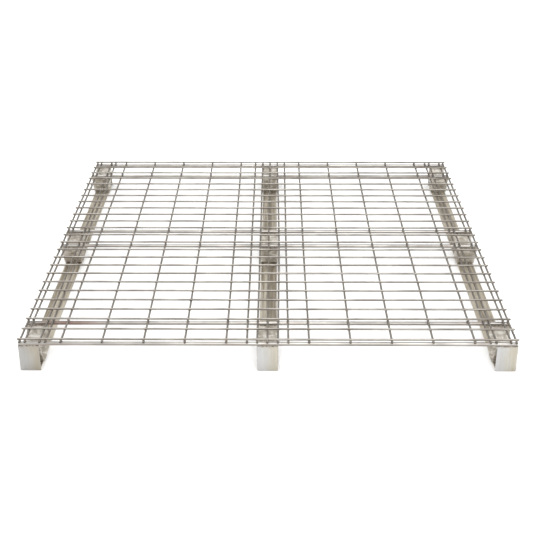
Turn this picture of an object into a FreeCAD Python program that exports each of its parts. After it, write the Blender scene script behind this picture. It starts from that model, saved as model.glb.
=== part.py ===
# Wire mesh pallet: a welded wire deck on six support bars, nine bent strap feet and three runners.
# Millimetres, +Z up. The origin is on the floor under the middle of the deck.
# X runs along the long deck wires, Y runs along the runners, and -Y is the front.
import FreeCAD, Part
import math
import os

# --- deck mesh ---
GRID_WIDTH = 1200.0          # outermost cross wire to outermost cross wire, centre to centre
GRID_DEPTH = 1200.0          # first long wire to last long wire, centre to centre
LONG_WIRE_COUNT = 25
LONG_WIRE_DIAMETER = 5.0
LONG_WIRE_OVERHANG = 6.0     # long wire end past the outermost cross wire
CROSS_WIRE_DIAMETER = 5.0
CROSS_WIRE_OVERHANG = 8.0    # cross wire end past the first long wire
FIELD_BAYS = 12              # wide bays of the open mesh across the whole width
FIELD_WIRE_COUNT = 5         # open cross wires on each side of the centre
EDGE_PAIR_SPACING = 13.0     # the two cross wires at each side edge
FOOT_PAIR_SPACING = 14.0     # the two cross wires just inboard of the outer feet
CENTRE_WIRE_SPACING = 25.0   # the three cross wires over the centre feet
CENTRE_FLANK_OFFSET = 50.0   # one more cross wire on each side of those three

# --- support bars ---
BAR_DIAMETER = 10.0
BAR_OVERHANG = 3.0           # bar end past the outermost cross wire

# --- runners ---
RUNNER_WIDTH = 45.0
RUNNER_THICKNESS = 3.0
RUNNER_INSET = 20.0          # outermost cross wire to the middle of the outer runner

# --- feet ---
FOOT_WIDTH = 52.0
FOOT_SPAN_BAYS = 2           # long wire bays from one bar of a foot to its other bar
FOOT_HEIGHT = 66.0
FOOT_THICKNESS = 3.0
FOOT_BASE_LENGTH = 36.0      # flat that is welded to the runner
FOOT_BEND_RADIUS = 4.0       # inside radius of the two bends

# --- end plates ---
END_PLATE_WIDTH = 50.0
END_PLATE_THICKNESS = 3.0
END_PLATE_EDGE_RADIUS = 1.0  # rounded upright edges

# --- levels and places that follow from the sizes above ---
LONG_WIRE_PITCH = GRID_DEPTH / (LONG_WIRE_COUNT - 1)
FOOT_LENGTH = FOOT_SPAN_BAYS * LONG_WIRE_PITCH
FOOT_TOP = RUNNER_THICKNESS + FOOT_HEIGHT
BAR_LEVEL = FOOT_TOP + BAR_DIAMETER / 2
CROSS_WIRE_LEVEL = BAR_LEVEL + (BAR_DIAMETER + CROSS_WIRE_DIAMETER) / 2
LONG_WIRE_LEVEL = CROSS_WIRE_LEVEL + (CROSS_WIRE_DIAMETER + LONG_WIRE_DIAMETER) / 2
HALF_WIDTH = GRID_WIDTH / 2
HALF_DEPTH = GRID_DEPTH / 2
RUNNER_OFFSET = HALF_WIDTH - RUNNER_INSET
FOOT_ROW_OFFSET = HALF_DEPTH - FOOT_LENGTH / 2
LEG_TOP_OUTER = FOOT_LENGTH / 2 + FOOT_THICKNESS / 2
RUNNER_HALF_LENGTH = FOOT_ROW_OFFSET + LEG_TOP_OUTER

LINES = {"left": -RUNNER_OFFSET, "centre": 0.0, "right": RUNNER_OFFSET}
ROWS = {"front": -FOOT_ROW_OFFSET, "middle": 0.0, "rear": FOOT_ROW_OFFSET}
SAME_PLACE = 0.01            # two levels closer than this are the same one

os.makedirs("parts", exist_ok=True)


def save(name, solids):
    shape = solids[0] if len(solids) == 1 else Part.makeCompound(solids)
    shape.exportStep("parts/" + name + ".step")


def block(width, depth, height, x, y, z):
    """A box centred on x and y, standing on z."""
    corner = FreeCAD.Vector(x - width / 2, y - depth / 2, z)
    return Part.makeBox(width, depth, height, corner)


def rod_along_x(y, z, length, diameter):
    start = FreeCAD.Vector(-length / 2, y, z)
    return Part.makeCylinder(diameter / 2, length, start, FreeCAD.Vector(1, 0, 0))


def rod_along_y(x, z, length, diameter):
    start = FreeCAD.Vector(x, -length / 2, z)
    return Part.makeCylinder(diameter / 2, length, start, FreeCAD.Vector(0, 1, 0))


def make_long_wires():
    length = GRID_WIDTH + 2 * LONG_WIRE_OVERHANG
    for index in range(LONG_WIRE_COUNT):
        y = -HALF_DEPTH + index * LONG_WIRE_PITCH
        wire = rod_along_x(y, LONG_WIRE_LEVEL, length, LONG_WIRE_DIAMETER)
        save("long_wire_%02d" % (index + 1), [wire])


def make_cross_wires():
    """The lower layer of the deck, in one node for each group of neighbouring wires."""
    foot_pair_outer = RUNNER_OFFSET - (FOOT_WIDTH + CROSS_WIRE_DIAMETER) / 2
    groups = {"centre": [-CENTRE_FLANK_OFFSET, -CENTRE_WIRE_SPACING, 0.0,
                         CENTRE_WIRE_SPACING, CENTRE_FLANK_OFFSET]}
    for side, sign in (("left", -1), ("right", 1)):
        groups[side + "_edge"] = [sign * HALF_WIDTH, sign * (HALF_WIDTH - EDGE_PAIR_SPACING)]
        groups[side + "_foot"] = [sign * foot_pair_outer,
                                  sign * (foot_pair_outer - FOOT_PAIR_SPACING)]
        groups[side + "_field"] = [sign * bay * GRID_WIDTH / FIELD_BAYS
                                   for bay in range(1, FIELD_WIRE_COUNT + 1)]
    length = GRID_DEPTH + 2 * CROSS_WIRE_OVERHANG
    for group, places in groups.items():
        wires = [rod_along_y(x, CROSS_WIRE_LEVEL, length, CROSS_WIRE_DIAMETER) for x in places]
        save("cross_wires_" + group, wires)


def make_bars():
    """Two bars for each row of feet, under the first and the last long wire of the row."""
    length = GRID_WIDTH + 2 * BAR_OVERHANG
    for row, row_y in ROWS.items():
        for end, offset in (("front", -FOOT_LENGTH / 2), ("rear", FOOT_LENGTH / 2)):
            bar = rod_along_x(row_y + offset, BAR_LEVEL, length, BAR_DIAMETER)
            save("support_bar_%s_%s" % (row, end), [bar])


def make_runners():
    for line, x in LINES.items():
        strip = block(RUNNER_WIDTH, 2 * RUNNER_HALF_LENGTH, RUNNER_THICKNESS, x, 0.0, 0.0)
        save("runner_" + line, [strip])


def strap_section():
    """Outline of a foot seen from the side: a flat base with two legs that lean outwards."""
    base = FOOT_BASE_LENGTH / 2
    lean = math.atan2(LEG_TOP_OUTER - base, FOOT_HEIGHT)
    # the inner faces lie one thickness inside the outer ones, measured square to the sheet
    inner_top = LEG_TOP_OUTER - FOOT_THICKNESS / math.cos(lean)
    inner_base = inner_top - (FOOT_HEIGHT - FOOT_THICKNESS) * math.tan(lean)
    half = [(base, 0.0), (LEG_TOP_OUTER, FOOT_HEIGHT),
            (inner_top, FOOT_HEIGHT), (inner_base, FOOT_THICKNESS)]
    return half + [(-y, z) for y, z in reversed(half)]


def strap_blank():
    x = -FOOT_WIDTH / 2
    points = [FreeCAD.Vector(x, y, z + RUNNER_THICKNESS) for y, z in strap_section()]
    face = Part.Face(Part.makePolygon(points + points[:1]))
    return face.extrude(FreeCAD.Vector(FOOT_WIDTH, 0, 0))


def bend_edges(solid, level):
    """The edges across the strap at one level and near the base: a bend's inside or outside."""
    found = []
    for edge in solid.Edges:
        box = edge.BoundBox
        across = box.XLength > FOOT_WIDTH / 2 and box.ZLength < SAME_PLACE
        if across and abs(box.ZMin - level) < SAME_PLACE:
            found.append(edge)
    return found


def make_foot_shape():
    strap = strap_blank()
    inside = bend_edges(strap, RUNNER_THICKNESS + FOOT_THICKNESS)
    strap = strap.makeFillet(FOOT_BEND_RADIUS, inside)
    outside = bend_edges(strap, RUNNER_THICKNESS)
    return strap.makeFillet(FOOT_BEND_RADIUS + FOOT_THICKNESS, outside)


def make_feet():
    foot = make_foot_shape()
    for row, y in ROWS.items():
        for line, x in LINES.items():
            placed = foot.copy()
            placed.translate(FreeCAD.Vector(x, y, 0))
            save("foot_%s_%s" % (row, line), [placed])


def make_end_plates():
    """A plate stands on the floor and closes each end of each runner, up to the bar."""
    middle = RUNNER_HALF_LENGTH + END_PLATE_THICKNESS / 2
    for end, sign in (("front", -1), ("rear", 1)):
        for line, x in LINES.items():
            plate = block(END_PLATE_WIDTH, END_PLATE_THICKNESS, FOOT_TOP, x, sign * middle, 0.0)
            outer_face = sign * (RUNNER_HALF_LENGTH + END_PLATE_THICKNESS)
            upright = [edge for edge in plate.Edges
                       if edge.BoundBox.ZLength > FOOT_TOP / 2
                       and abs(edge.BoundBox.YMin - outer_face) < SAME_PLACE]
            save("end_plate_%s_%s" % (end, line),
                 [plate.makeFillet(END_PLATE_EDGE_RADIUS, upright)])


make_long_wires()
make_cross_wires()
make_bars()
make_runners()
make_feet()
make_end_plates()
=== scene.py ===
import math
import random

import bmesh
import bpy
from mathutils import Matrix, Vector, kdtree


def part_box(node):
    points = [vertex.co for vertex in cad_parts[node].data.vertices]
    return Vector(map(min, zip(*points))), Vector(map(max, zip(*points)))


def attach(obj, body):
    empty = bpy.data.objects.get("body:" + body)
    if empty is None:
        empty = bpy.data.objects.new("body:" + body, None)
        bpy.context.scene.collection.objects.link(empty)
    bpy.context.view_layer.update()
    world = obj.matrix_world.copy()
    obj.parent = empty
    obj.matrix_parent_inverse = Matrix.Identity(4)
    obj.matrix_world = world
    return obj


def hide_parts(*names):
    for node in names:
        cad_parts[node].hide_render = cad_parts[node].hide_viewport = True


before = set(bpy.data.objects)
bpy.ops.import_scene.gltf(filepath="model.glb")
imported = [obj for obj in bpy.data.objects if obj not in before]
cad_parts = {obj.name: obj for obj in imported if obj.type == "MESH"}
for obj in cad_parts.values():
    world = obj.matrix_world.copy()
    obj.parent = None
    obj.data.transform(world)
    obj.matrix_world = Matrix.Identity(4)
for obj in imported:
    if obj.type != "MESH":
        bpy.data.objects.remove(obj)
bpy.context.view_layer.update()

MM = 0.001
ROWS = ("front", "middle", "rear")
LINES = ("left", "centre", "right")
ENDS = ("front", "rear")
SIDEWAYS, LENGTHWISE, UPWARDS = 0, 1, 2

WIRE_SIDES = 10
WIRE_STEP = 5 * MM            # length of one ring of faces along a wire
WIRE_END_BREAK = 0.5 * MM     # worn edge of a sheared wire end
WIRE_END_PINCH = 0.14         # a shear leaves the end this much flatter than round
BOW_OF_A_WIRE = 0.7 * MM
BOW_BESIDE_THE_CENTRE = 4.0 * MM
NUGGET_SPREAD = 1.35          # half width of a resistance weld, against the wire's radius
NUGGET_HEIGHT = 0.8           # half its height, where two wires cross
BAR_NUGGET_HEIGHT = 0.9       # half its height, where a wire crosses a bar
BAR_NUGGET_STRETCH = 1.25     # one of its widths there, against the other
BEAD_RADIUS = 2.2 * MM
BEAD_SIDES = 10
BEAD_RIPPLE = 2.4 * MM        # distance from one ripple of an arc weld to the next
SPOT_WELD_SIZE = (4 * MM, 4 * MM, 0.8 * MM)
SPOT_WELD_OFFSET = Vector((12 * MM, 9 * MM, 0))    # from the middle of a foot's flat
SHEET_EDGE_BREAK = 0.5 * MM
STRAP_CUTS = (8, 11)          # columns and rows of faces on a foot
PLATE_CUTS = (12, 16)         # columns and rows of faces on an end plate
HEAT_REACH = 7 * MM           # how far a weld's heat has tinted a wire or an end plate
STRAP_HEAT_REACH = 11 * MM
STRAP_HEAT_STEP = 6 * MM      # from one hot spot along a bead to the next
PLATE_HEAT_STEP = 8 * MM
FLOOR_RADIUS = 30.0
FLOOR_LEVEL = -0.5 * MM       # just clear of the runners, so that no faces lie on each other
SHARP_CORNER = math.radians(40)
SAME_PLACE = 0.01 * MM


# --- measuring the frame ---

class Wire:
    """The centre line of a drawn wire, with the slight bow that a real one has between its ends."""

    def __init__(self, along, across, level, low, high, radius, bow, seed):
        self.along = along
        self.sideways = 1 - along
        self.across = across
        self.level = level
        self.low = low
        self.high = high
        self.radius = radius
        chance = random.Random(seed)
        self.waves = [(bow, 0.5, 0.0),
                      (chance.uniform(-0.5, 0.5) * BOW_OF_A_WIRE, 1.5, chance.uniform(0, math.tau)),
                      (chance.uniform(-0.3, 0.3) * BOW_OF_A_WIRE, 3.0, chance.uniform(0, math.tau))]

    def shift(self, place):
        """How far the wire is off its straight line at a place along it."""
        share = place / (self.high - self.low)
        return sum(size * math.cos(math.tau * turns * share + phase)
                   for size, turns, phase in self.waves)

    def point(self, place):
        spot = Vector((0, 0, self.level))
        spot[self.along] = place
        spot[self.sideways] = self.across + self.shift(place)
        return spot


def rods_in(node, axis):
    """Centre and radius of each parallel rod of a node, read from its mesh across the rods."""
    places = sorted(vertex.co[axis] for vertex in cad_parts[node].data.vertices)
    low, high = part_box(node)
    gap = (high.z - low.z) / 2
    rods = []
    start = places[0]
    for place, following in zip(places, places[1:] + [math.inf]):
        if following - place > gap:
            rods.append(((start + place) / 2, (place - start) / 2))
            start = following
    return rods


def read_wires(node, along):
    """The wires of a node, front to rear or left to right."""
    low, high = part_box(node)
    wires = []
    for across, radius in rods_in(node, 1 - along):
        seed = "%s %.3f" % (node, across)
        bow = random.Random(seed).uniform(-1, 1) * BOW_OF_A_WIRE
        if along == LENGTHWISE and abs(across - CENTRE_GAP) < SAME_PLACE:
            bow = BOW_BESIDE_THE_CENTRE
        wires.append(Wire(along, across, (low.z + high.z) / 2, low[along], high[along],
                          radius, bow, seed))
    return wires


# from the middle cross wire to the next one
CENTRE_GAP = min(place for place, _ in rods_in("cross_wires_centre", SIDEWAYS)
                 if place > SAME_PLACE)
LONG_NODES = sorted(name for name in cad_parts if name.startswith("long_wire"))
CROSS_NODES = sorted(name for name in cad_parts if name.startswith("cross_wires"))
BAR_NODES = sorted(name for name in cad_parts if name.startswith("support_bar"))
LONG_WIRES = {name: read_wires(name, SIDEWAYS) for name in LONG_NODES}
CROSS_WIRES = {name: read_wires(name, LENGTHWISE) for name in CROSS_NODES}
PLATE_LOW, PLATE_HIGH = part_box("end_plate_front_left")
SHEET_THICKNESS = PLATE_HIGH.y - PLATE_LOW.y


# --- colour and finish ---

def linear(hex_colour):
    """An sRGB hex colour as the linear values that a shader takes."""
    channels = [int(hex_colour[start:start + 2], 16) / 255 for start in (1, 3, 5)]
    return tuple(c / 12.92 if c <= 0.04045 else ((c + 0.055) / 1.055) ** 2.4
                 for c in channels) + (1.0,)


def every(millimetres):
    """A texture scale that repeats a pattern at this distance."""
    return 1 / (millimetres * MM)


def add(tree, kind, inputs=None, stops=None, **settings):
    """Adds a node: its settings, the stops of its ramp, and each input as a value or a link."""
    made = tree.nodes.new("ShaderNode" + kind)
    for name, value in settings.items():
        setattr(made, name, value)
    if stops:
        elements = made.color_ramp.elements
        while len(elements) < len(stops):
            elements.new(1.0)
        for element, (place, colour) in zip(elements, stops):
            element.position = place
            element.color = colour
    for name, value in (inputs or {}).items():
        if isinstance(value, bpy.types.NodeSocket):
            tree.links.new(value, made.inputs[name])
        else:
            made.inputs[name].default_value = value
    return made


MIX_FACTOR, MIX_A, MIX_B, MIX_RESULT = 0, 6, 7, 2    # sockets of a Mix node set to colours
WHITE = (1.0, 1.0, 1.0, 1.0)


def blend(tree, factor, under, over, how="MIX"):
    """Lays one colour over another by a factor."""
    mixed = add(tree, "Mix", {MIX_FACTOR: factor, MIX_A: under, MIX_B: over},
                data_type="RGBA", blend_type=how)
    return mixed.outputs[MIX_RESULT]


def mask(tree, value, start, end):
    """A soft step from 0 at start to 1 at end."""
    step = add(tree, "MapRange", {"Value": value, "From Min": start, "From Max": end},
               interpolation_type="SMOOTHSTEP")
    return step.outputs["Result"]


def scaled(tree, value, factor):
    return add(tree, "Math", {0: value, 1: factor}, operation="MULTIPLY").outputs[0]


def new_steel(name, metallic=1.0):
    """A metal with its shader, and the object coordinates that its patterns read."""
    material = bpy.data.materials.new(name)
    material.use_nodes = True
    tree = material.node_tree
    tree.nodes.clear()
    shader = add(tree, "BsdfPrincipled", {"Metallic": metallic})
    add(tree, "OutputMaterial", {"Surface": shader.outputs["BSDF"]})
    place = add(tree, "TexCoord").outputs["Object"]
    return material, tree, shader, place


def noise(tree, place, stretch, detail=3.0, roughness=0.55):
    """Noise whose grain is stretch millimetres along X, Y and Z."""
    spot = add(tree, "Mapping", {"Vector": place, "Scale": [every(length) for length in stretch]})
    return add(tree, "TexNoise", {"Vector": spot.outputs["Vector"], "Scale": 1.0,
                                  "Detail": detail, "Roughness": roughness}).outputs["Fac"]


def finish_steel(tree, shader, colour, gloss, height, depth):
    """Joins the colour, the roughness and the relief of a metal to its shader."""
    bump = add(tree, "Bump", {"Height": height, "Distance": depth * MM, "Strength": 0.6})
    tree.links.new(colour, shader.inputs["Base Color"])
    tree.links.new(gloss, shader.inputs["Roughness"])
    tree.links.new(bump.outputs["Normal"], shader.inputs["Normal"])


def spread(tree, value, low, high):
    """Turns noise into a roughness between two values."""
    return add(tree, "MapRange", {"Value": value, "From Min": 0.3, "From Max": 0.7,
                                  "To Min": low, "To Max": high}).outputs["Result"]


def heat_tint(tree, heat, colour):
    """Straw, then brown, then grey scale, as zinc and steel turn towards a weld."""
    straw, brown, scale_grey = linear("#A89F93"), linear("#8B7B6D"), linear("#5E554F")
    tint = add(tree, "ValToRGB", {"Fac": heat},
               stops=[(0.0, straw), (0.45, brown), (1.0, scale_grey)]).outputs["Color"]
    return blend(tree, scaled(tree, mask(tree, heat, 0.08, 0.95), 0.45), colour, tint)


def painted_underside_shade(tree, colour, shade_colour):
    """Darkens whatever doesn't look up: painted shade on the undersides."""
    normal = add(tree, "TexCoord").outputs["Normal"]
    upwards = mask(tree, add(tree, "SeparateXYZ", {"Vector": normal}).outputs["Z"], -0.1, 0.9)
    shade = blend(tree, upwards, linear(shade_colour), WHITE)
    return blend(tree, 1.0, colour, shade, "MULTIPLY")


def bright_drawn_wire():
    """Zinc-plated drawn wire, top layer: pale and warm, fine lines along it, duller in patches."""
    material, tree, shader, place = new_steel("zinc_plated_drawn_wire_bright")
    patches = noise(tree, place, (70, 30, 30))
    # real drawing lines are much finer: these are as coarse as they need to be to show
    lines = noise(tree, place, (45, 0.8, 0.8), detail=2.0)
    colour = blend(tree, mask(tree, patches, 0.35, 0.68), linear("#B5B1AA"), linear("#948F88"))
    colour = blend(tree, scaled(tree, lines, 0.35), colour, linear("#857F78"), "MULTIPLY")
    # painted shade: the undersides of the wire are painted darker
    colour = painted_underside_shade(tree, colour, "#B4B1AD")
    heat = add(tree, "Attribute", attribute_name="weld_heat").outputs["Fac"]
    colour = heat_tint(tree, heat, colour)
    finish_steel(tree, shader, colour, spread(tree, patches, 0.30, 0.52), lines, 0.05)
    return material


def shaded_drawn_wire():
    """Zinc-plated drawn wire, lower layer: the same wire, greyer in patches, painted darker overall
    as painted shade, most of all on its undersides.
    """
    material, tree, shader, place = new_steel("zinc_plated_drawn_wire_shaded")
    patches = noise(tree, place, (30, 60, 30))
    lines = noise(tree, place, (0.8, 45, 0.8), detail=2.0)    # coarser than real ones, to show
    colour = blend(tree, mask(tree, patches, 0.35, 0.68), linear("#ABA69E"), linear("#8E8981"))
    colour = blend(tree, scaled(tree, lines, 0.4), colour, linear("#6E6A66"), "MULTIPLY")
    # painted shade: the undersides are painted much darker than on the top layer
    colour = painted_underside_shade(tree, colour, "#8E8B86")
    heat = add(tree, "Attribute", attribute_name="weld_heat").outputs["Fac"]
    colour = heat_tint(tree, heat, colour)
    finish_steel(tree, shader, colour, spread(tree, patches, 0.34, 0.58), lines, 0.05)
    return material


def middle_of(node):
    low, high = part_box(node)
    return (low + high) / 2


def around(tree, place, spot, reach):
    """1 at a spot, fading to 0 at reach millimetres from it."""
    distance = add(tree, "VectorMath", {0: place, 1: spot}, operation="DISTANCE").outputs["Value"]
    return mask(tree, distance, reach * MM, 0.0)


def near_feet(tree, place, reach):
    """1 over the lines of feet on a bar and 0 further than reach millimetres away from them."""
    foot_low, foot_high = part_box("foot_front_right")
    across = add(tree, "SeparateXYZ", {"Vector": place}).outputs["X"]
    line = add(tree, "Math", {0: across, 1: (foot_low.x + foot_high.x) / 2}, operation="PINGPONG")
    near_outer = mask(tree, line.outputs[0], foot_low.x - reach * MM, foot_low.x)
    near_centre = mask(tree, line.outputs[0], (foot_high.x - foot_low.x) / 2 + reach * MM, 0.0)
    return add(tree, "Math", {0: near_outer, 1: near_centre}, operation="MAXIMUM").outputs[0]


def bright_round_bar():
    """Zinc-plated bright round bar: smooth and pale, faintly brown by the feet, rusty by one."""
    material, tree, shader, place = new_steel("zinc_plated_round_bar")
    patches = noise(tree, place, (110, 40, 40))
    lines = noise(tree, place, (80, 1.2, 1.2), detail=2.0)    # coarser than real ones, to show
    colour = blend(tree, mask(tree, patches, 0.35, 0.68), linear("#CCC9C4"), linear("#B0ACA7"))
    colour = blend(tree, scaled(tree, lines, 0.3), colour, linear("#908C86"), "MULTIPLY")
    # painted shade: the undersides of the bar are painted darker
    colour = painted_underside_shade(tree, colour, "#CECCC9")
    blotches = mask(tree, noise(tree, place, (55, 25, 25), detail=4.0), 0.46, 0.66)
    stain = add(tree, "Math", {0: blotches, 1: near_feet(tree, place, 190)}, operation="MULTIPLY")
    colour = blend(tree, scaled(tree, stain.outputs[0], 0.3), colour, linear("#8E7868"))
    rust_middle = middle_of("support_bar_front_rear")
    rust_middle.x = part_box("foot_front_left")[1].x + 60 * MM
    rusty = scaled(tree, around(tree, place, rust_middle, 130), 0.6)
    colour = blend(tree, rusty, colour, linear("#7A5648"))
    finish_steel(tree, shader, colour, spread(tree, patches, 0.26, 0.46), lines, 0.04)
    return material


def spangle(tree, place, size):
    """The flakes that zinc makes as it sets, as a random value for each."""
    cells = add(tree, "TexVoronoi", {"Vector": place, "Scale": every(size), "Randomness": 1.0})
    return add(tree, "SeparateColor", {"Color": cells.outputs["Color"]}).outputs["Red"]


def rolled_strip():
    """Galvanised rolled strip of the runners: dull grey-brown, streaked along it, worn dirty."""
    material, tree, shader, place = new_steel("galvanised_rolled_strip", metallic=0.6)
    patches = noise(tree, place, (35, 140, 35), detail=4.0)
    # real rolling marks are finer: these are as coarse as they need to be to show
    rolling = noise(tree, place, (7, 300, 7), detail=4.0, roughness=0.65)
    specks = noise(tree, place, (2.5, 3.5, 2.5), detail=4.0)
    flakes = spangle(tree, place, 9)
    colour = blend(tree, mask(tree, patches, 0.32, 0.7), linear("#CDC5B5"), linear("#B4AB9A"))
    streaks = scaled(tree, mask(tree, rolling, 0.44, 0.6), 0.75)
    colour = blend(tree, streaks, colour, linear("#958D80"), "MULTIPLY")
    colour = blend(tree, scaled(tree, flakes, 0.16), colour, linear("#B5AFA3"))
    dirt = scaled(tree, mask(tree, specks, 0.56, 0.72), 0.45)
    colour = blend(tree, dirt, colour, linear("#4E453C"))
    finish_steel(tree, shader, colour, spread(tree, patches, 0.45, 0.68), rolling, 0.12)
    return material


def bent_strap():
    """Galvanised bent strap of the feet: pale zinc blotches on grey, painted shadow and reflection
    lines across, rust on one.
    """
    material, tree, shader, place = new_steel("galvanised_bent_strap", metallic=0.6)
    patches = noise(tree, place, (15, 15, 15), detail=4.0, roughness=0.65)
    grime = noise(tree, place, (60, 60, 28), detail=4.0)
    # painted shadows and reflections of the bars and deck wires, as dark lines across the strap
    marks = noise(tree, place, (40, 6, 5), detail=3.0)
    flakes = spangle(tree, place, 8)
    colour = blend(tree, mask(tree, patches, 0.38, 0.64), linear("#A39C8F"), linear("#E4E0D8"))
    colour = blend(tree, scaled(tree, flakes, 0.22), colour, linear("#B4AFA8"))
    painted_shadow_lines = scaled(tree, mask(tree, marks, 0.48, 0.68), 0.45)
    colour = blend(tree, painted_shadow_lines, colour, linear("#7C7468"))
    dark_grime = scaled(tree, mask(tree, grime, 0.45, 0.7), 0.4)
    colour = blend(tree, dark_grime, colour, linear("#7A6B5C"))
    rusty = around(tree, place, middle_of("foot_middle_left"), 70)
    colour = blend(tree, scaled(tree, rusty, 0.3), colour, linear("#8C6A5A"))
    heat = add(tree, "Attribute", attribute_name="weld_heat").outputs["Fac"]
    colour = heat_tint(tree, heat, colour)
    finish_steel(tree, shader, colour, spread(tree, patches, 0.36, 0.62), patches, 0.25)
    return material


def sheared_plate():
    """Zinc-plated plate of the end plates: cold grey to straw across it, with upright marks."""
    material, tree, shader, place = new_steel("zinc_plated_sheared_plate")
    across = add(tree, "Attribute", attribute_name="across").outputs["Fac"]
    patches = noise(tree, place, (16, 16, 55), detail=4.0)
    marks = noise(tree, place, (1.6, 1.6, 90), detail=3.0)    # coarser than real ones, to show
    wander = add(tree, "Math", {0: patches, 1: 0.9, 2: across}, operation="MULTIPLY_ADD")
    side = mask(tree, wander.outputs[0], 0.55, 1.3)
    colour = blend(tree, side, linear("#CBCCCC"), linear("#C6C1B4"))
    colour = blend(tree, scaled(tree, marks, 0.4), colour, linear("#98928A"), "MULTIPLY")
    drips = mask(tree, noise(tree, place, (6, 6, 24), detail=4.0), 0.66, 0.76)
    colour = blend(tree, scaled(tree, drips, 0.55), colour, linear("#8E7B63"))
    heat = add(tree, "Attribute", attribute_name="weld_heat").outputs["Fac"]
    colour = heat_tint(tree, scaled(tree, heat, 0.8), colour)
    # painted shade: some plates are painted darker all over
    plate_shade = add(tree, "Attribute", attribute_name="plate_shade").outputs["Fac"]
    colour = blend(tree, plate_shade, colour, linear("#8B8078"), "MULTIPLY")
    finish_steel(tree, shader, colour, spread(tree, patches, 0.34, 0.54), marks, 0.08)
    return material


def weld_metal():
    """Weld metal plated over: rough, mottled from silver to brown scale."""
    material, tree, shader, place = new_steel("plated_weld_metal")
    scale = noise(tree, place, (5, 5, 5), detail=4.0, roughness=0.7)
    grain = noise(tree, place, (0.9, 0.9, 0.9), detail=2.0)    # coarser than real scale, to show
    colour = blend(tree, mask(tree, scale, 0.4, 0.64), linear("#BAB4AB"), linear("#7B6E62"))
    colour = blend(tree, scaled(tree, grain, 0.4), colour, linear("#8A8179"), "MULTIPLY")
    finish_steel(tree, shader, colour, spread(tree, scale, 0.34, 0.6), grain, 0.15)
    return material


# --- making pieces ---

def show(name, mesh_builder, material, stands_for=()):
    """Makes a piece of a finished bmesh. It rides on the frame and may stand for nodes of it."""
    mesh = bpy.data.meshes.new(name)
    mesh_builder.to_mesh(mesh)
    mesh_builder.free()
    mesh.shade_smooth()
    mesh.set_sharp_from_angle(angle=SHARP_CORNER)
    mesh.materials.append(material)
    piece = bpy.data.objects.new(name, mesh)
    bpy.context.scene.collection.objects.link(piece)
    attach(piece, "root")
    if stands_for:
        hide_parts(*stands_for)
    return piece


def paint(piece, name, value_at):
    """Stores a number for each point of a piece's mesh, for its material to read."""
    attribute = piece.data.attributes.new(name, "FLOAT", "POINT")
    attribute.data.foreach_set("value", [value_at(vertex.co) for vertex in piece.data.vertices])


def heat_from(points, reach, seed):
    """Heat at a spot: 1 at the hottest weld, fading to 0 over the reach, uneven between welds."""
    chance = random.Random(seed)
    strengths = [chance.uniform(0.25, 1.0) ** 1.5 for _ in points]
    tree = kdtree.KDTree(len(points))
    for index, point in enumerate(points):
        tree.insert(point, index)
    tree.balance()

    def heat(spot):
        _, index, distance = tree.find(spot)
        return strengths[index] * math.exp(-(distance / reach) ** 2)

    return heat


def lay_rod(start, end, radius, sides, step):
    """A round rod with rings of faces a step apart, lying from start to end, with closed ends."""
    run = end - start
    rod = bmesh.new()
    bmesh.ops.create_cone(rod, cap_ends=True, segments=sides, radius1=radius, radius2=radius,
                          depth=run.length)
    lengthwise = [edge for edge in rod.edges
                  if abs(edge.verts[0].co.z - edge.verts[1].co.z) > run.length / 2]
    bmesh.ops.subdivide_edges(rod, edges=lengthwise, cuts=max(1, round(run.length / step) - 1),
                              use_grid_fill=True)
    turned = run.to_track_quat("Z", "Y").to_matrix().to_4x4()
    bmesh.ops.transform(rod, matrix=Matrix.Translation((start + end) / 2) @ turned, verts=rod.verts)
    return rod


def gather(parts):
    """Joins separate bmeshes into one."""
    whole = bmesh.new()
    for part in parts:
        carrier = bpy.data.meshes.new("carrier")
        part.to_mesh(carrier)
        part.free()
        whole.from_mesh(carrier)
        bpy.data.meshes.remove(carrier)
    return whole


def make_wire(wire):
    """A wire: sheared ends, pinched and worn at the edge, and its slight bow."""
    start = Vector((0, 0, wire.level))
    start[wire.sideways] = wire.across
    end = start.copy()
    start[wire.along], end[wire.along] = wire.low, wire.high
    rod = lay_rod(start, end, wire.radius, WIRE_SIDES, WIRE_STEP)
    rim = [edge for edge in rod.edges
           if {len(face.verts) for face in edge.link_faces} == {4, WIRE_SIDES}]
    bmesh.ops.bevel(rod, geom=rim, offset=WIRE_END_BREAK, offset_type="OFFSET", segments=2,
                    profile=0.5, affect="EDGES", material=-1)
    for vertex in rod.verts:
        place = vertex.co[wire.along]
        if min(place - wire.low, wire.high - place) < WIRE_END_BREAK + SAME_PLACE:
            vertex.co.z = wire.level + (vertex.co.z - wire.level) * (1 - WIRE_END_PINCH)
        vertex.co[wire.sideways] += wire.shift(place)
    return rod


def wire_crossings():
    """Each place where a long wire lies on a cross wire."""
    spots = []
    for (long_wire,) in LONG_WIRES.values():
        for group in CROSS_WIRES.values():
            for cross_wire in group:
                spot = long_wire.point(cross_wire.across)
                spot.x = cross_wire.point(long_wire.across).x
                spot.z = (long_wire.level + cross_wire.level) / 2
                spots.append(spot)
    return spots


def bar_crossings():
    """Each place where a cross wire lies on a support bar."""
    spots = []
    for bar in BAR_NODES:
        low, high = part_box(bar)
        for group in CROSS_WIRES.values():
            for cross_wire in group:
                spot = cross_wire.point((low.y + high.y) / 2)
                spot.z = high.z
                spots.append(spot)
    return spots


def make_nuggets(spots, size, seed):
    """Resistance welds: metal squeezed out round each crossing, no two quite the same."""
    chance = random.Random(seed)
    nuggets = bmesh.new()
    for spot in spots:
        stretch = [size[axis] * chance.uniform(0.85, 1.15) for axis in range(3)]
        placed = (Matrix.Translation(spot) @ Matrix.Rotation(chance.uniform(0, math.tau), 4, "Z")
                  @ Matrix.Diagonal(stretch).to_4x4())
        bmesh.ops.create_uvsphere(nuggets, u_segments=8, v_segments=5, radius=1.0, matrix=placed)
    return nuggets


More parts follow.
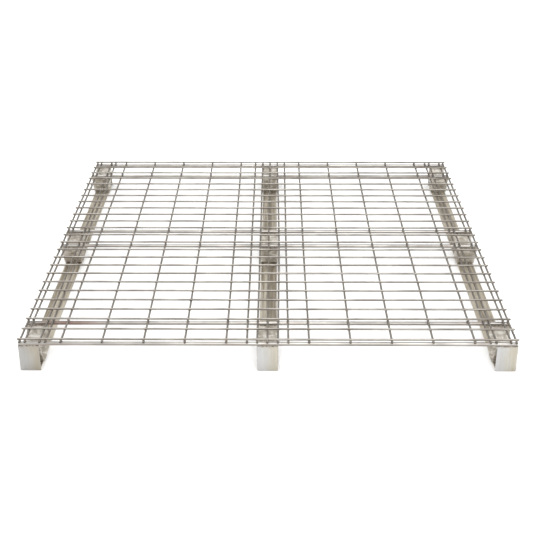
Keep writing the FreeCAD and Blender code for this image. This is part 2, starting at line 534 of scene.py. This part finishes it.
def make_bead(start, end, radius, seed):
    """An arc weld: a rippled bead that swells and thins, with tapered ends."""
    chance = random.Random(seed)
    phase = chance.uniform(0, math.tau)
    bead = lay_rod(start, end, radius, BEAD_SIDES, BEAD_RIPPLE / 4)
    run = end - start
    for vertex in bead.verts:
        place = (vertex.co - start).dot(run) / run.length
        middle = start + run * (place / run.length)
        ripple = 1 + 0.13 * math.sin(math.tau * place / BEAD_RIPPLE)
        swell = 1 + 0.15 * math.sin(math.tau * place / (9 * BEAD_RIPPLE) + phase)
        taper = min(1.0, 0.45 + min(place, run.length - place) / (1.5 * BEAD_RIPPLE))
        vertex.co = middle + (vertex.co - middle) * ripple * swell * taper
    return bead


# --- the pieces ---

def make_deck(long_finish, cross_finish):
    """Both layers of deck wires. Returns the places where they cross."""
    crossings = wire_crossings()
    heat = heat_from(crossings, HEAT_REACH, "deck")
    for node, (wire,) in LONG_WIRES.items():
        piece = show("deck_" + node, make_wire(wire), long_finish, [node])
        paint(piece, "weld_heat", heat)
    for node, wires in CROSS_WIRES.items():
        group = gather([make_wire(wire) for wire in wires])
        piece = show("deck_" + node, group, cross_finish, [node])
        paint(piece, "weld_heat", heat)
    return crossings


def make_deck_welds(crossings, finish):
    radius = LONG_WIRES[LONG_NODES[0]][0].radius
    width = radius * NUGGET_SPREAD
    between_wires = make_nuggets(crossings, (width, width, radius * NUGGET_HEIGHT), "deck")
    show("deck_weld_nuggets", between_wires, finish)
    bar_nugget = (width, width * BAR_NUGGET_STRETCH, radius * BAR_NUGGET_HEIGHT)
    on_bars = make_nuggets(bar_crossings(), bar_nugget, "bar")
    show("bar_weld_nuggets", on_bars, finish)


def foot_weld_lines(row, line):
    """Start and end of each bead between the legs of a foot and its two bars."""
    low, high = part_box("foot_%s_%s" % (row, line))
    inset = 3 * BEAD_RADIUS
    lines = []
    for end in ENDS:
        bar_low, bar_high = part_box("support_bar_%s_%s" % (row, end))
        bar_middle = (bar_low.y + bar_high.y) / 2
        for side in (-1, 1):
            y = bar_middle + side * 1.25 * BEAD_RADIUS
            z = high.z + 0.1 * BEAD_RADIUS
            lines.append((Vector((low.x + inset, y, z)), Vector((high.x - inset, y, z))))
    return lines


def along_line(start, end, step):
    count = max(2, round((end - start).length / step))
    return [start.lerp(end, index / (count - 1)) for index in range(count)]


def foot_spot_welds(row, line):
    """Four spot welds that hold the flat of a foot to its runner."""
    low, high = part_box("foot_%s_%s" % (row, line))
    runner_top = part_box("runner_" + line)[1].z
    middle = (low + high) / 2
    flat_top = runner_top + SHEET_THICKNESS
    return [Vector((middle.x + x * SPOT_WELD_OFFSET.x, middle.y + y * SPOT_WELD_OFFSET.y, flat_top))
            for x in (-1, 1) for y in (-1, 1)]


def cut_up(sheet, low, high, columns, rows):
    """Cuts the faces of a sheet into even columns and rows, so that it can carry painted values."""
    for axis, count in ((SIDEWAYS, columns), (UPWARDS, rows)):
        normal = Vector((0, 0, 0))
        normal[axis] = 1
        for cut in range(1, count):
            bmesh.ops.bisect_plane(sheet, geom=sheet.verts[:] + sheet.edges[:] + sheet.faces[:],
                                   dist=SAME_PLACE, plane_co=low.lerp(high, cut / count),
                                   plane_no=normal)


def make_foot(row, line, finish):
    """A bent strap foot: the frame's own shape with its sheet edges worn round."""
    node = "foot_%s_%s" % (row, line)
    low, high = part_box(node)
    strap = bmesh.new()
    strap.from_mesh(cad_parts[node].data)
    bmesh.ops.remove_doubles(strap, verts=strap.verts, dist=SAME_PLACE)
    bmesh.ops.dissolve_limit(strap, angle_limit=math.radians(1),
                             verts=strap.verts, edges=strap.edges)
    sharp = [edge for edge in strap.edges
             if edge.is_manifold and edge.calc_face_angle() > SHARP_CORNER]
    bmesh.ops.bevel(strap, geom=sharp, offset=SHEET_EDGE_BREAK, offset_type="OFFSET", segments=2,
                    profile=0.5, affect="EDGES", material=-1)
    cut_up(strap, low, high, *STRAP_CUTS)
    piece = show("strap_" + node, strap, finish, [node])
    welds = foot_spot_welds(row, line)
    for start, end in foot_weld_lines(row, line):
        welds += along_line(start, end, STRAP_HEAT_STEP)
    paint(piece, "weld_heat", heat_from(welds, STRAP_HEAT_REACH, node))


SHADED_PLATES = {"end_plate_front_left": 0.35, "end_plate_rear_centre": 0.2}    # painted shade: these plates are painted darker all over
LEAST_PLATE_SHADE = 0.05


def make_end_plate(end, line, finish):
    """An end plate: sheared from plate, with its edges worn round."""
    node = "end_plate_%s_%s" % (end, line)
    low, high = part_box(node)
    size = high - low
    plate = bmesh.new()
    bmesh.ops.create_cube(plate, size=1.0, matrix=Matrix.Translation((low + high) / 2)
                          @ Matrix.Diagonal(size).to_4x4())
    bmesh.ops.bevel(plate, geom=plate.edges[:], offset=SHEET_EDGE_BREAK, offset_type="OFFSET",
                    segments=3, profile=0.5, affect="EDGES", material=-1)
    cut_up(plate, low, high, *PLATE_CUTS)
    piece = show(node + "_sheared", plate, finish, [node])
    paint(piece, "across", lambda spot: (spot.x - low.x) / size.x)
    # painted shade: how much darker each plate is painted
    paint(piece, "plate_shade", lambda spot: SHADED_PLATES.get(node, LEAST_PLATE_SHADE))
    top_edge = along_line(Vector((low.x, low.y, high.z)), Vector((high.x, low.y, high.z)),
                          PLATE_HEAT_STEP)
    paint(piece, "weld_heat", heat_from(top_edge, HEAT_REACH, node))


def make_weld_beads(finish):
    """Welds: arc beads from feet to bars and from end plates to runners, and spot welds from feet
    to runners.
    """
    foot_beads = [make_bead(start, end, BEAD_RADIUS, "%s %s %d" % (row, line, number))
                  for row in ROWS for line in LINES
                  for number, (start, end) in enumerate(foot_weld_lines(row, line))]
    show("foot_weld_beads", gather(foot_beads), finish)
    spots = [spot for row in ROWS for line in LINES for spot in foot_spot_welds(row, line)]
    show("foot_spot_welds", make_nuggets(spots, SPOT_WELD_SIZE, "foot"), finish)
    plate_beads = []
    for line in LINES:
        runner_low, runner_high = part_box("runner_" + line)
        for y, sign in ((runner_low.y, 1), (runner_high.y, -1)):
            start = Vector((runner_low.x + BEAD_RADIUS, y + sign * BEAD_RADIUS / 2, runner_high.z))
            end = Vector((runner_high.x - BEAD_RADIUS, start.y, start.z))
            seed = "plate %s %d" % (line, sign)
            plate_beads.append(make_bead(start, end, BEAD_RADIUS * 0.9, seed))
    show("end_plate_weld_beads", gather(plate_beads), finish)


def finish_kept_nodes(bar_finish, runner_finish):
    """Bars and runners keep the frame's own solids, and each gets the finish of its kind."""
    for name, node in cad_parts.items():
        for start, finish in (("support_bar", bar_finish), ("runner", runner_finish)):
            if name.startswith(start):
                node.data.materials.clear()
                node.data.materials.append(finish)


# --- the studio ---

def make_floor():
    floor_mesh = bmesh.new()
    bmesh.ops.create_circle(floor_mesh, cap_ends=True, segments=64, radius=FLOOR_RADIUS)
    mesh = bpy.data.meshes.new("studio_floor")
    floor_mesh.to_mesh(mesh)
    floor_mesh.free()
    floor = bpy.data.objects.new("studio_floor", mesh)
    floor.location.z = FLOOR_LEVEL
    material = bpy.data.materials.new("pale_floor")
    material.use_nodes = True
    tree = material.node_tree
    tree.nodes.clear()
    shader = add(tree, "BsdfDiffuse", {"Color": linear("#F8F8F7")})
    add(tree, "OutputMaterial", {"Surface": shader.outputs["BSDF"]})
    mesh.materials.append(material)
    bpy.context.scene.collection.objects.link(floor)


BRIGHT_SIDE = (0.0, -0.5, 0.87)    # the studio is brightest above the front and dim behind


def make_lights():
    world = bpy.data.worlds.new("soft_studio")
    world.use_nodes = True
    tree = world.node_tree
    direction = add(tree, "TexCoord").outputs["Generated"]
    facing = add(tree, "VectorMath", {0: direction, 1: BRIGHT_SIDE}, operation="DOT_PRODUCT")
    facing = facing.outputs["Value"]
    colour = blend(tree, mask(tree, facing, -0.3, 0.75), linear("#B6B5B3"), linear("#FEFEFF"))
    # the backdrop is one even pale tone, whatever lights the steel
    seen = add(tree, "LightPath").outputs["Is Camera Ray"]
    colour = blend(tree, seen, colour, linear("#F6F6F5"))
    tree.links.new(colour, tree.nodes["Background"].inputs["Color"])
    tree.nodes["Background"].inputs["Strength"].default_value = 1.1
    bpy.context.scene.world = world
    for name, spot, size, power in (("front_softbox", (0.6, -2.6, 2.6), 2.4, 55),
                                    ("top_softbox", (-0.5, 0.6, 3.0), 2.4, 45)):
        light = bpy.data.lights.new(name, "AREA")
        light.size = size
        light.energy = power
        lamp = bpy.data.objects.new(name, light)
        lamp.location = spot
        lamp.rotation_euler = Vector(spot).to_track_quat("Z", "Y").to_euler()
        bpy.context.scene.collection.objects.link(lamp)


def make_camera():
    """A camera in front of the pallet and above it, a little off its middle."""
    lens = bpy.data.cameras.new("camera")
    lens.sensor_width = 36.0
    lens.lens = 67.93
    camera = bpy.data.objects.new("camera", lens)
    camera.location = (0.0169, -2.6891, 1.3316)
    heading = Matrix.Rotation(math.radians(0.523), 3, "Z")
    tilt = Matrix.Rotation(math.radians(63.351), 3, "X")
    roll = Matrix.Rotation(math.radians(-0.1439), 3, "Z")
    camera.rotation_euler = (heading @ tilt @ roll).to_euler()
    bpy.context.scene.collection.objects.link(camera)
    bpy.context.scene.camera = camera


make_camera()
make_lights()
make_floor()
bpy.context.scene.view_settings.view_transform = "Standard"

weld_finish = weld_metal()
make_deck_welds(make_deck(bright_drawn_wire(), shaded_drawn_wire()), weld_finish)
finish_kept_nodes(bright_round_bar(), rolled_strip())
strap_finish = bent_strap()
for foot_row in ROWS:
    for foot_line in LINES:
        make_foot(foot_row, foot_line, strap_finish)
plate_finish = sheared_plate()
for plate_end in ENDS:
    for plate_line in LINES:
        make_end_plate(plate_end, plate_line, plate_finish)
make_weld_beads(weld_finish)
